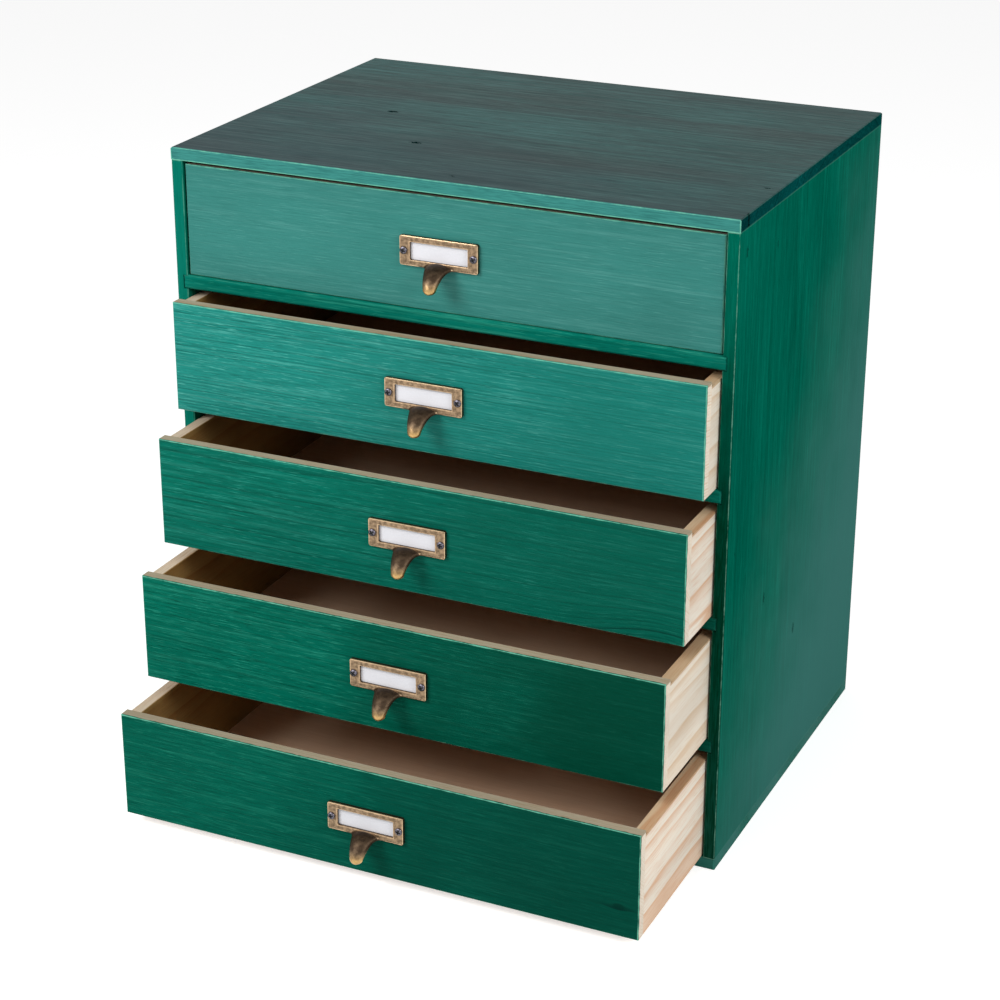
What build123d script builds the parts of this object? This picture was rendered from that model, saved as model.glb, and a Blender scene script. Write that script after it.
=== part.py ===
"""A table-top cabinet of five shallow drawers, in pinned softwood boards with cast label pulls.

The cabinet stands on Z = 0 with its middle on the origin.  X runs to the right and Y to the back,
so the drawers slide out along -Y.  Every size is in millimetres.
"""
from build123d import *
import math
import os

# Cabinet ------------------------------------------------------------------------------------------
cabinet_width = 430.0
cabinet_depth = 315.0
board = 9.0                 # thickness of the top, bottom and side boards
shelf_thickness = 10.4      # the boards between the drawers
opening_height = 85.4       # clear height of one drawer's opening
housing_depth = 3.5         # how far a shelf's ends are let into the side boards
shelf_round = 2.0           # rounding of a shelf's front edges
arris = 0.9                 # bevel of the cabinet's outer edges
back_thickness = 3.0        # plywood back, let in flush from behind
back_lap = 5.0              # how far the back laps onto the boards round it

# Drawers ------------------------------------------------------------------------------------------
pulled_out = (0.0, 26.0, 54.0, 86.0, 124.0)     # how far each one stands open, from the top down
front_recess = 2.0          # a shut drawer's front lies this far behind the cabinet's front
side_gap = 1.2              # clear width on each side of a drawer
run_gap = 0.4               # clear height under a drawer
head_gap = 2.8              # clear height over a drawer's front
rear_gap = 4.0              # from a shut drawer to the back
drawer_board = 9.0          # thickness of a drawer's front, sides and back
side_drop = 3.5             # the sides and the back are this much lower than the front
front_arris = 0.7           # bevel round the face of a drawer's front
panel_thickness = 3.0       # a drawer's bottom panel
panel_height = 2.5          # from the underside of a drawer to its bottom panel
groove_depth = 4.0          # the groove that holds the bottom panel
panel_slack = 0.3           # left free at each edge of the bottom panel

# Brads: thin square-cut pins that are driven in and sunk under the surface ------------------------
brad_width = 1.3
brad_depth = 1.1
brad_sink = 1.0             # from the surface of the wood down to the top of a brad
brad_reach = 12.0           # how far a brad goes into the second board
brad_slack = 0.05           # round a brad and at its ends
cabinet_brad_inset = 45.0   # from the cabinet's front and back to the outer brads
drawer_brad_inset = 20.0    # from the lower and upper edge of a drawer's side to its brads
back_brad_inset = 36.0      # from the corners of the back to its nearest brads
brad_head_width = 2.4
brad_head_height = 0.5

# Label pull: a cast frame with a finger tongue ----------------------------------------------------
pull_left = 2.5             # the pulls sit this far left of the middle of a front
pull_up = 1.0               # and this far above it
frame_width = 60.0
frame_height = 21.4
frame_thickness = 2.8
frame_end = 7.85            # from an end of the frame to its window
frame_rail = 4.25           # from the frame's upper or lower edge to its window
frame_corner = 1.4
frame_bevel = 0.6           # bevel round the frame's face
card_lap = 1.8              # how far the card goes on behind the frame, past the window
card_thickness = 0.5
card_slack = 0.15           # round the card in its pocket behind the frame
tongue_reach = 18.0         # from the frame's face out to the tongue's tip
tongue_drop = 19.4          # from the top of the tongue's root down to its tip
tongue_widths = (19.0, 17.2, 15.4, 13.6, 11.6, 9.6, 7.4)    # from its root to its tip
tongue_crown = 4.2          # height of the tongue's arched back over its rim
tongue_turn = 90.0          # degrees that the tongue bends through, from straight out to straight down
arch_flat_count = 10        # the arched back is drawn with flats that run along it
tip_bevel = 1.0
screw_inset = 3.25          # from an end of the frame to the middle of its screw
screw_radius = 1.4
screw_slack = 0.1           # round a screw in its hole
shank_side_count = 12       # a screw's shank and its hole are drawn with flat sides
screw_head_radius = 2.8
screw_head_height = 1.6
screw_length = 8.8          # under the head

# Sizes that follow --------------------------------------------------------------------------------
drawer_count = len(pulled_out)
opening_pitch = opening_height + shelf_thickness
inner_width = cabinet_width - 2 * board
inner_height = drawer_count * opening_pitch - shelf_thickness
cabinet_height = inner_height + 2 * board
back_width = inner_width + 2 * back_lap
back_height = inner_height + 2 * back_lap

box_width = inner_width - 2 * side_gap
box_length = cabinet_depth - front_recess - rear_gap - back_thickness
front_height = opening_height - run_gap - head_gap
side_height = front_height - side_drop
side_length = box_length - 2 * drawer_board
tray_width = box_width - 2 * drawer_board
pull_height = front_height / 2 + pull_up
window_width = frame_width - 2 * frame_end
window_height = frame_height - 2 * frame_rail
card_width = window_width + 2 * card_lap
card_height = window_height + 2 * card_lap
screw_spacing = frame_width - 2 * screw_inset

# Planes that pieces are drawn on: the cabinet's back, seen from behind its middle, and its front
cabinet_back = Plane((0, cabinet_depth / 2, cabinet_height / 2), x_dir=(1, 0, 0), z_dir=(0, -1, 0))
cabinet_front = Plane((0, -cabinet_depth / 2, 0), x_dir=(1, 0, 0), z_dir=(0, -1, 0))

os.makedirs("parts", exist_ok=True)


def save(piece, name):
    """Label a finished piece and write it as the node of that name."""
    piece.label = name
    export_step(piece, f"parts/{name}.step")


def shelf_middle(number):
    """Height of a shelf's middle, counted from the top one."""
    return board + inner_height - number * opening_pitch + shelf_thickness / 2


# What is cut out of the cabinet's boards ----------------------------------------------------------
with BuildPart() as back_recess:
    with BuildSketch(cabinet_back):
        Rectangle(back_width, back_height)
    extrude(amount=back_thickness)

back_brad_rise = (back_height - back_lap - 2 * back_brad_inset) / 2
back_brad_places = (
    GridLocations(back_width - back_lap, back_brad_rise, 2, 3).local_locations
    + GridLocations(back_width - 2 * back_brad_inset, back_height - back_lap, 2, 2).local_locations
)


def back_brads(slack):
    """The brads that hold the back, with flush heads; with slack round them, the holes for them."""
    with BuildPart() as brads:
        with BuildSketch(cabinet_back):
            with Locations(*back_brad_places):
                Rectangle(brad_head_width + 2 * slack, brad_depth + 2 * slack)
        extrude(amount=brad_head_height)
        with BuildSketch(cabinet_back):
            with Locations(*back_brad_places):
                Rectangle(brad_width + 2 * slack, brad_depth + 2 * slack)
        extrude(amount=back_thickness + brad_reach + slack)
    return brads.part


def cabinet_brads(slack):
    """The brads that join the top and the bottom to the sides, or with slack the holes for them."""
    with BuildPart() as brads:
        for face, way in ((cabinet_height, 1), (0, -1)):
            with BuildSketch(Plane.XY.offset(face - way * (board + brad_reach + slack))):
                with GridLocations(inner_width + board, cabinet_depth / 2 - cabinet_brad_inset, 2, 3):
                    Rectangle(brad_depth + 2 * slack, brad_width + 2 * slack)
            extrude(amount=way * (board + brad_reach - brad_sink + 2 * slack))
    return brads.part


back_brad_holes = back_brads(brad_slack)
cabinet_brad_holes = cabinet_brads(brad_slack)

# Cabinet boards -----------------------------------------------------------------------------------
with BuildPart() as top_board:
    with BuildSketch(Plane.XY.offset(cabinet_height - board)):
        Rectangle(cabinet_width, cabinet_depth)
    extrude(amount=board)
    chamfer(top_board.edges().group_by(Axis.Z)[-1], arris)
    add(back_recess.part, mode=Mode.SUBTRACT)
    add(back_brad_holes, mode=Mode.SUBTRACT)
    add(cabinet_brad_holes, mode=Mode.SUBTRACT)
save(top_board.part, "top_board")

with BuildPart() as bottom_board:
    with BuildSketch(Plane.XY):
        Rectangle(cabinet_width, cabinet_depth)
    extrude(amount=board)
    chamfer(bottom_board.edges().group_by(Axis.Y)[0], arris)
    add(back_recess.part, mode=Mode.SUBTRACT)
    add(back_brad_holes, mode=Mode.SUBTRACT)
    add(cabinet_brad_holes, mode=Mode.SUBTRACT)
save(bottom_board.part, "bottom_board")

for side_name, hand in (("left_side", -1), ("right_side", 1)):
    with BuildPart() as side_board:
        with BuildSketch(Plane.XY.offset(board)):
            with Locations((hand * (inner_width + board) / 2, 0)):
                Rectangle(board, cabinet_depth)
        extrude(amount=inner_height)
        chamfer(side_board.edges().filter_by(Axis.Z).group_by(Axis.Y)[0], arris)
        # Housings for the ends of the shelves, open at the front
        with BuildSketch(cabinet_front):
            for number in range(1, drawer_count):
                with Locations((hand * inner_width / 2, shelf_middle(number))):
                    Rectangle(2 * housing_depth, shelf_thickness)
        extrude(amount=-cabinet_depth, mode=Mode.SUBTRACT)
        add(back_recess.part, mode=Mode.SUBTRACT)
        add(back_brad_holes, mode=Mode.SUBTRACT)
        add(cabinet_brad_holes, mode=Mode.SUBTRACT)
    save(side_board.part, side_name)

for number in range(1, drawer_count):
    with BuildPart() as shelf:
        with BuildSketch(cabinet_front):
            with Locations((0, shelf_middle(number))):
                Rectangle(inner_width + 2 * housing_depth, shelf_thickness)
        extrude(amount=back_thickness - cabinet_depth)
        fillet(shelf.edges().group_by(Axis.Y)[0], min(shelf_round, 0.45 * shelf_thickness))
    save(shelf.part, f"shelf_{number}")

with BuildPart() as back_panel:
    with BuildSketch(cabinet_back):
        Rectangle(back_width, back_height)
    extrude(amount=back_thickness)
    add(back_brad_holes, mode=Mode.SUBTRACT)
save(back_panel.part, "back_panel")
save(back_brads(0), "back_brads")
save(cabinet_brads(0), "cabinet_brads")

# Drawers ------------------------------------------------------------------------------------------
# One drawer is drawn with the middle of its front's lower edge on the origin, and is then set in
# place once for each opening.
drawer = {}

with BuildPart() as panel_groove:
    with BuildSketch(Plane.XY.offset(panel_height)):
        with Locations((0, drawer_board + side_length / 2)):
            Rectangle(tray_width + 2 * groove_depth, side_length + 2 * groove_depth)
    extrude(amount=panel_thickness)


def drawer_brads(slack):
    """The brads that join the front and the back to the ends of the sides, or with slack their holes."""
    length = drawer_board + brad_reach - brad_sink + 2 * slack
    with BuildPart() as brads:
        for start in (brad_sink - slack, box_length - brad_sink + slack - length):
            across = Plane((0, start, side_height / 2), x_dir=(1, 0, 0), z_dir=(0, -1, 0))
            with BuildSketch(across):
                with GridLocations(box_width - drawer_board, side_height - 2 * drawer_brad_inset, 2, 2):
                    Rectangle(brad_depth + 2 * slack, brad_width + 2 * slack)
            extrude(amount=-length)
    return brads.part


drawer_brad_holes = drawer_brads(brad_slack)
drawer["brads"] = drawer_brads(0)

screw_places = [(way * screw_spacing / 2 - pull_left, pull_height) for way in (-1, 1)]
with BuildPart() as front:
    with BuildSketch(Plane.XZ):
        with Locations((0, front_height / 2)):
            Rectangle(box_width, front_height)
    extrude(amount=-drawer_board)
    chamfer(front.edges().group_by(Axis.Y)[0], front_arris)
    with BuildSketch(Plane.XZ):
        with Locations(*screw_places):
            RegularPolygon(screw_radius + screw_slack, shank_side_count)
    extrude(amount=-(screw_length - frame_thickness + screw_slack), mode=Mode.SUBTRACT)
    add(panel_groove.part, mode=Mode.SUBTRACT)
    add(drawer_brad_holes, mode=Mode.SUBTRACT)
drawer["front"] = front.part

for side_name, hand in (("left_side", -1), ("right_side", 1)):
    with BuildPart() as drawer_side:
        with BuildSketch(Plane.XY):
            with Locations((hand * (box_width - drawer_board) / 2, drawer_board + side_length / 2)):
                Rectangle(drawer_board, side_length)
        extrude(amount=side_height)
        add(panel_groove.part, mode=Mode.SUBTRACT)
        add(drawer_brad_holes, mode=Mode.SUBTRACT)
    drawer[side_name] = drawer_side.part

with BuildPart() as drawer_back:
    with BuildSketch(Plane.XY):
        with Locations((0, box_length - drawer_board / 2)):
            Rectangle(box_width, drawer_board)
    extrude(amount=side_height)
    add(panel_groove.part, mode=Mode.SUBTRACT)
    add(drawer_brad_holes, mode=Mode.SUBTRACT)
drawer["back"] = drawer_back.part

with BuildPart() as bottom_panel:
    with BuildSketch(Plane.XY.offset(panel_height)):
        with Locations((0, drawer_board + side_length / 2)):
            Rectangle(
                tray_width + 2 * (groove_depth - panel_slack),
                side_length + 2 * (groove_depth - panel_slack),
            )
    extrude(amount=panel_thickness)
drawer["bottom_panel"] = bottom_panel.part

# Label pull ---------------------------------------------------------------------------------------
# Drawn on its own, with the middle of the frame's back on the origin and its face towards -Y.
pull_middle = Location((-pull_left, 0, pull_height))
screw_pair = GridLocations(screw_spacing, 0, 2, 1)
tongue_steps = len(tongue_widths) - 1


def tongue_plane(step):
    """The plane across the tongue at a step, from its root at 0 to its tip.

    The rim of the tongue follows a quarter of an ellipse, out from the frame's lower edge and then
    down.
    """
    angle = math.radians(tongue_turn * step / tongue_steps)
    out = (tongue_reach - tongue_crown) * math.sin(angle)
    fall = (tongue_drop - tongue_crown) * (1 - math.cos(angle))
    along = (0, -math.cos(angle), -math.sin(angle))
    return Plane((0, -frame_thickness - out, -frame_height / 2 - fall), x_dir=(1, 0, 0), z_dir=along)


def arch(width):
    """The outline across the tongue: a flat underside and an arched back."""
    turns = [math.pi * flat / arch_flat_count for flat in range(arch_flat_count + 1)]
    return [(width / 2 * math.cos(turn), tongue_crown * math.sin(turn)) for turn in turns]


with BuildPart() as pull:
    with BuildSketch(Plane.XZ):
        RectangleRounded(frame_width, frame_height, frame_corner)
    extrude(amount=frame_thickness)
    chamfer(pull.faces().sort_by(Axis.Y)[0].edges(), frame_bevel)
    with BuildSketch(Plane.XZ):
        Rectangle(window_width, window_height)
        with screw_pair:
            RegularPolygon(screw_radius + screw_slack, shank_side_count)
    extrude(amount=frame_thickness, mode=Mode.SUBTRACT)
    # Pocket for the card, behind the window
    with BuildSketch(Plane.XZ):
        Rectangle(card_width + 2 * card_slack, card_height + 2 * card_slack)
    extrude(amount=card_thickness + card_slack, mode=Mode.SUBTRACT)
    # The tongue, and its root through the bevel of the frame's lower edge
    for step, width in enumerate(tongue_widths):
        with BuildSketch(tongue_plane(step)):
            with BuildLine():
                Polyline(*arch(width), close=True)
            make_face()
    loft()
    chamfer(pull.faces().sort_by(Axis.Z)[0].edges(), tip_bevel)
    with BuildSketch(tongue_plane(0)):
        with BuildLine():
            Polyline(*arch(tongue_widths[0]), close=True)
        make_face()
    extrude(amount=-frame_bevel)
drawer["pull"] = pull.part.moved(pull_middle)

with BuildPart() as pull_screws:
    with BuildSketch(Plane.XZ.offset(frame_thickness)):
        with screw_pair:
            Circle(screw_head_radius)
    extrude(amount=screw_head_height)
    with BuildSketch(Plane.XZ.offset(frame_thickness)):
        with screw_pair:
            RegularPolygon(screw_radius, shank_side_count)
    extrude(amount=-screw_length)
drawer["pull_screws"] = pull_screws.part.moved(pull_middle)

with BuildPart() as label_card:
    with BuildSketch(Plane.XZ):
        Rectangle(card_width, card_height)
    extrude(amount=card_thickness)
drawer["label_card"] = label_card.part.moved(pull_middle)

# Drawers in place ---------------------------------------------------------------------------------
for number, opening in enumerate(pulled_out, start=1):
    face = front_recess - cabinet_depth / 2 - opening
    floor = board + (drawer_count - number) * opening_pitch + run_gap
    for name, piece in drawer.items():
        save(piece.moved(Location((0, face, floor))), f"drawer_{number}_{name}")
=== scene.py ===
# %% [markdown]
# # A green cabinet of five small drawers
#
# The object is a table-top cabinet for craft stamps: thin softwood boards brushed with a green
# stain, drawers left raw behind their fronts, and cast brass label pulls.  Its boards come ready
# made from the CAD model, so this lesson is about finishes: how a stain sits in the grain of a
# board, how raw pine differs from it, and how an aged casting is built and coloured.
#
# Everything is in metres.  X runs to the right, the drawers slide out along -Y, and Z is up.

# %% Load the CAD model as the fixed frame
import math

import bmesh
import bpy
from mathutils import Matrix, Vector


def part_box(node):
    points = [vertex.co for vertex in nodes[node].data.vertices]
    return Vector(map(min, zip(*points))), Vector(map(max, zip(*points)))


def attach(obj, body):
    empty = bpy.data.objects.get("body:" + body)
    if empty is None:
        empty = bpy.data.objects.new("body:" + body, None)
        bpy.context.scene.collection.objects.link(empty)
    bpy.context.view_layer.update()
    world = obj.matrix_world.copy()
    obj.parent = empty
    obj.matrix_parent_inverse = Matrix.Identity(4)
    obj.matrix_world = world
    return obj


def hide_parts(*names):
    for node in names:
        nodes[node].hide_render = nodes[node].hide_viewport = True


mm = 0.001
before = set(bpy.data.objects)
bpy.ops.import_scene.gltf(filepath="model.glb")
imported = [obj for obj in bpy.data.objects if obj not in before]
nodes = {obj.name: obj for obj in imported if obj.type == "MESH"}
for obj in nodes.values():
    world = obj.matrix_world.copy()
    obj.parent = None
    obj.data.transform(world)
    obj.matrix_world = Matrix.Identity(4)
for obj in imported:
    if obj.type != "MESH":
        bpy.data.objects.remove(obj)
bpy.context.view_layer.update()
drawer_numbers = range(1, 6)


def link_new(name, data):
    """Make an object from its data and put it in the scene."""
    made = bpy.data.objects.new(name, data)
    bpy.context.scene.collection.objects.link(made)
    return made


print("pieces in the frame:", len(nodes))

# %% [markdown]
# ## The camera
#
# The photograph was taken from the front right, from well above the cabinet's top.  A camera has
# a place, two angles and a focal length.  The focal length is written in pixels of the picture,
# because that is what a photograph can be measured in, and is turned into millimetres of lens for
# a 36 mm sensor.

# %% Camera
picture_width = 1000
focal_pixels = 2451.3
sensor_width = 36.0
camera_place = Vector((0.7129, -1.6083, 0.9361))
camera_azimuth = math.radians(24.742)
camera_elevation = math.radians(22.940)
camera_roll = math.radians(0.147)


def camera_axes(azimuth, elevation, roll):
    """The rotation of a camera that looks along the azimuth from +Y, downwards by the elevation."""
    ahead = Vector((-math.sin(azimuth) * math.cos(elevation),
                    math.cos(azimuth) * math.cos(elevation),
                    -math.sin(elevation)))
    level = ahead.cross(Vector((0, 0, 1))).normalized()
    above = level.cross(ahead)
    right = math.cos(roll) * level + math.sin(roll) * above
    up = math.cos(roll) * above - math.sin(roll) * level
    return Matrix((right, up, -ahead)).transposed()


camera_data = bpy.data.cameras.new("camera")
camera_data.sensor_width = sensor_width
camera_data.lens = focal_pixels / picture_width * sensor_width
camera = link_new("camera", camera_data)
camera.matrix_world = camera_axes(camera_azimuth, camera_elevation, camera_roll).to_4x4()
camera.location = camera_place
bpy.context.scene.camera = camera
bpy.context.scene.view_settings.view_transform = "Standard"
print("lens:", round(camera_data.lens, 2), "mm")

# %% [markdown]
# ## Light
#
# A product photograph is lit by large soft boxes.  Here a wide one stands at the front left and
# above, a weaker one at the right, and the world gives the rest, as the white walls of a studio
# do.  Large lamps give soft shadows, and satin stain shows them as a faint pale sheen.

# %% Lamps
look_at = Vector((0, 0, 0.22))
soft_boxes = {
    # name: place, width and height, power in watts
    "key": (Vector((-0.85, -1.35, 1.25)), (0.8, 0.6), 20.5),
    "fill": (Vector((1.70, -0.80, 1.30)), (1.0, 0.8), 20.5),
}
for name, (place, size, power) in soft_boxes.items():
    lamp_data = bpy.data.lights.new(name, "AREA")
    lamp_data.shape = "RECTANGLE"
    lamp_data.size, lamp_data.size_y = size
    lamp_data.energy = power
    lamp = link_new(name, lamp_data)
    lamp.location = place
    lamp.rotation_euler = (look_at - place).to_track_quat("-Z", "Y").to_euler()
print("soft boxes:", ", ".join(soft_boxes))

# %% [markdown]
# ## Small helpers for shader nodes
#
# A node tree built in code is mostly "add a node, set its sockets, link it on".  A few short
# helpers do that, so that the finishes below read like recipes.  A value may be a number, a tuple
# or another node's socket.

# %% Node helpers
def connect(tree, value, socket):
    """Link a socket to another, or set it to a plain value."""
    if isinstance(value, bpy.types.NodeSocket):
        tree.links.new(value, socket)
    else:
        socket.default_value = value


def put(tree, kind, values=None, **settings):
    """Add a shader node with its settings and the values of its sockets."""
    node = tree.nodes.new("ShaderNode" + kind)
    for name, value in settings.items():
        setattr(node, name, value)
    for name, value in (values or {}).items():
        connect(tree, value, node.inputs[name])
    return node


def maths(tree, operation, *values):
    """One step of arithmetic on numbers."""
    node = put(tree, "Math", operation=operation)
    for socket, value in zip(node.inputs, values):
        connect(tree, value, socket)
    return node.outputs[0]


def times(tree, first, second):
    """Multiply two numbers.  Two masks leave what they share."""
    return maths(tree, "MULTIPLY", first, second)


def one_minus(tree, value):
    """The opposite of a mask."""
    return maths(tree, "SUBTRACT", 1.0, value)


def vectors(tree, operation, *values):
    """One step of arithmetic on vectors."""
    node = put(tree, "VectorMath", operation=operation)
    for socket, value in zip(node.inputs, values):
        connect(tree, value, socket)
    number_out = operation in ("LENGTH", "DISTANCE", "DOT_PRODUCT")
    return node.outputs["Value" if number_out else "Vector"]


def scaled(tree, vector, factor):
    """A vector or a colour times a number."""
    node = put(tree, "VectorMath", {"Scale": factor}, operation="SCALE")
    connect(tree, vector, node.inputs[0])
    return node.outputs["Vector"]


def fade(tree, value, start, end, low=0.0, high=1.0):
    """A soft step: low before start, high after end."""
    values = {"Value": value, "From Min": start, "From Max": end, "To Min": low, "To Max": high}
    return put(tree, "MapRange", values, interpolation_type="SMOOTHSTEP").outputs["Result"]


def mix_colour(tree, amount, first, second, blend_type="MIX"):
    """Blend two colours."""
    node = put(tree, "Mix", data_type="RGBA", blend_type=blend_type)
    for index, value in ((0, amount), (6, first), (7, second)):
        connect(tree, value, node.inputs[index])
    return node.outputs[2]


def noise(tree, vector, scales, shift=None, detail=2.0, roughness=0.5, output="Fac"):
    """Smooth noise.  The larger a scale, the finer the noise is along that axis."""
    vector = vectors(tree, "MULTIPLY", vector, scales)
    if shift is not None:
        vector = vectors(tree, "ADD", vector, shift)
    values = {"Vector": vector, "Scale": 1.0, "Detail": detail, "Roughness": roughness}
    return put(tree, "TexNoise", values).outputs[output]


def split(tree, vector):
    """The three parts of a vector."""
    return put(tree, "SeparateXYZ", {"Vector": vector}).outputs


def join(tree, x, y, z):
    """A vector from three numbers."""
    return put(tree, "CombineXYZ", {"X": x, "Y": y, "Z": z}).outputs["Vector"]


def swatch(red, green, blue):
    """A colour picked on a screen, 0 to 255, as the linear light that shaders work in."""
    shares = [value / 255 for value in (red, green, blue)]
    linear = [s / 12.92 if s <= 0.04045 else ((s + 0.055) / 1.055) ** 2.4 for s in shares]
    return (*linear, 1.0)


FLOAT, VECTOR, COLOUR = "NodeSocketFloat", "NodeSocketVector", "NodeSocketColor"
white, black = (1, 1, 1, 1), (0, 0, 0, 1)
in_a_box = {"Vector": (VECTOR, (0, 0, 0)), "Low": (VECTOR, (0, 0, 0)), "High": (VECTOR, (1, 1, 1))}


def start_group(name, inputs, outputs):
    """An empty node group: inputs maps a name to its kind and usual value, outputs to its kind."""
    tree = bpy.data.node_groups.new(name, "ShaderNodeTree")
    for label, (kind, value) in inputs.items():
        tree.interface.new_socket(label, in_out="INPUT", socket_type=kind).default_value = value
    for label, kind in outputs.items():
        tree.interface.new_socket(label, in_out="OUTPUT", socket_type=kind)
    return tree, tree.nodes.new("NodeGroupInput").outputs, tree.nodes.new("NodeGroupOutput").inputs


def use_group(tree, name, values):
    """Place a node group in a material."""
    node = tree.nodes.new("ShaderNodeGroup")
    node.node_tree = bpy.data.node_groups[name]
    for label, value in values.items():
        connect(tree, value, node.inputs[label])
    return node.outputs


print("helpers ready")

# %% [markdown]
# ## The floor and the white studio
#
# The picture's ground is almost pure white.  Raising the lamps until a floor turns white would
# burn out the pale pine, so the floor and the world add a little light of their own, but only for
# rays that come from the camera or from a shiny surface.  The floor still darkens under the
# cabinet, so the object stands on something.

# %% Floor and world
floor_size = 30.0
floor_grey = (0.86, 0.86, 0.86, 1)
floor_glow = 0.57
world_light = 0.38


def seen_directly(tree):
    """1 for camera rays, reflections and views through glass, and 0 for light that is bounced."""
    path = put(tree, "LightPath").outputs
    shiny = maths(tree, "MAXIMUM", path["Is Glossy Ray"], path["Is Transmission Ray"])
    return maths(tree, "MAXIMUM", path["Is Camera Ray"], shiny)


floor_mesh = bpy.data.meshes.new("floor")
half = floor_size / 2
corners = [(-half, -half, 0), (half, -half, 0), (half, half, 0), (-half, half, 0)]
floor_mesh.from_pydata(corners, [], [(0, 1, 2, 3)])
floor = link_new("floor", floor_mesh)

floor_paint = bpy.data.materials.new("white floor")
floor_paint.use_nodes = True
tree = floor_paint.node_tree
surface = tree.nodes["Principled BSDF"]
surface.inputs["Base Color"].default_value = floor_grey
surface.inputs["Roughness"].default_value = 0.9
surface.inputs["Specular IOR Level"].default_value = 0.0
surface.inputs["Emission Color"].default_value = white
glow = times(tree, seen_directly(tree), floor_glow)
connect(tree, glow, surface.inputs["Emission Strength"])
floor_mesh.materials.append(floor_paint)

world = bpy.data.worlds.new("studio")
world.use_nodes = True
bpy.context.scene.world = world
tree = world.node_tree
strength = fade(tree, seen_directly(tree), 0.0, 1.0, world_light, 1.0)
connect(tree, strength, tree.nodes["Background"].inputs["Strength"])
tree.nodes["Background"].inputs["Color"].default_value = white
print("floor and world ready")

# %% [markdown]
# ## Grain: cutting a board out of a tree
#
# Wood grain looks right when it is made as a tree makes it.  Growth rings are tubes round the
# tree's heart, and a board is a straight cut through them.  So the group below measures how far
# each point lies from a heart line and folds that distance into rings.  Flat faces then get long
# arches or stripes and board ends get curved rings, all from one formula, with no seams at the
# edges.  A slow noise makes the heart line wander, and a knot pushes the rings apart.
#
# The vector that goes in has X along the grain, so each material turns its board first.

# %% Node group: wood grain
tree, given, result = start_group(
    "Wood grain",
    {"Vector": (VECTOR, (0, 0, 0)), "Heart": (VECTOR, (0, 0.05, 0.12)),
     "Ring Spacing": (FLOAT, 0.003), "Wander": (FLOAT, 0.01), "Knot Place": (VECTOR, (0, 0, 0)),
     "Knot Size": (FLOAT, 0.0), "Seed": (FLOAT, 0.0)},
    {"Ring": FLOAT, "Fibre": FLOAT, "Hair": FLOAT, "Streak": FLOAT, "Knot": FLOAT, "Blotch": FLOAT,
     "Near Knot": FLOAT})
shift = scaled(tree, (7.3, 3.1, 5.7), given["Seed"])
slow = noise(tree, given["Vector"], (2.2, 7.0, 7.0), shift, detail=1.0, output="Color")
slow = vectors(tree, "SUBTRACT", slow, (0.5, 0.5, 0.5))
wander = scaled(tree, vectors(tree, "MULTIPLY", slow, (0.0, 1.0, 1.0)), given["Wander"])
place = vectors(tree, "ADD", given["Vector"], wander)
# A knot: an oval in the face, where the rings part like water round a stone
from_knot = vectors(tree, "SUBTRACT", place, given["Knot Place"])
oval = vectors(tree, "LENGTH", vectors(tree, "MULTIPLY", from_knot, (0.55, 1.0, 0.0)))
knot_distance = maths(tree, "DIVIDE", oval, maths(tree, "MAXIMUM", given["Knot Size"], 1e-6))
nearness = times(tree, maths(tree, "POWER", knot_distance, 2.0), -0.5)
nearness = maths(tree, "POWER", 2.72, nearness)
squeeze = one_minus(tree, times(tree, nearness, 0.8))
along, across, through = split(tree, from_knot)
parted = times(tree, across, squeeze)
parted = vectors(tree, "ADD", given["Knot Place"], join(tree, along, parted, through))
# Rings round the heart line
to_heart = vectors(tree, "SUBTRACT", parted, given["Heart"])
radius = vectors(tree, "LENGTH", vectors(tree, "MULTIPLY", to_heart, (0.0, 1.0, 1.0)))
uneven = noise(tree, given["Vector"], (6.0, 60.0, 60.0), shift, detail=2.0)
phase = maths(tree, "ADD", maths(tree, "DIVIDE", radius, given["Ring Spacing"]),
              times(tree, uneven, 0.9))
through_ring = maths(tree, "FRACT", phase)
late_wood = times(tree, maths(tree, "POWER", through_ring, 2.2),
                  fade(tree, through_ring, 0.90, 1.0, 1.0, 0.0))
each_ring = put(tree, "TexWhiteNoise", {"W": maths(tree, "FLOOR", phase)}, noise_dimensions="1D")
strength = fade(tree, each_ring.outputs["Value"], 0.0, 1.0, 0.35, 1.25)
connect(tree, nearness, result["Near Knot"])
connect(tree, times(tree, late_wood, strength), result["Ring"])
fibre = noise(tree, given["Vector"], (40.0, 1500.0, 1500.0), shift, detail=2.0)
connect(tree, fibre, result["Fibre"])
hair = noise(tree, parted, (60.0, 1450.0, 1450.0), shift, detail=2.0, roughness=0.7)
connect(tree, hair, result["Hair"])
streak = noise(tree, given["Vector"], (9.0, 300.0, 300.0), shift, detail=3.0, roughness=0.65)
connect(tree, streak, result["Streak"])
connect(tree, fade(tree, knot_distance, 0.32, 0.62, 1.0, 0.0), result["Knot"])
blotch = noise(tree, given["Vector"], (5.0, 16.0, 16.0), shift, detail=2.0)
connect(tree, blotch, result["Blotch"])
print("node group:", tree.name)
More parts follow.
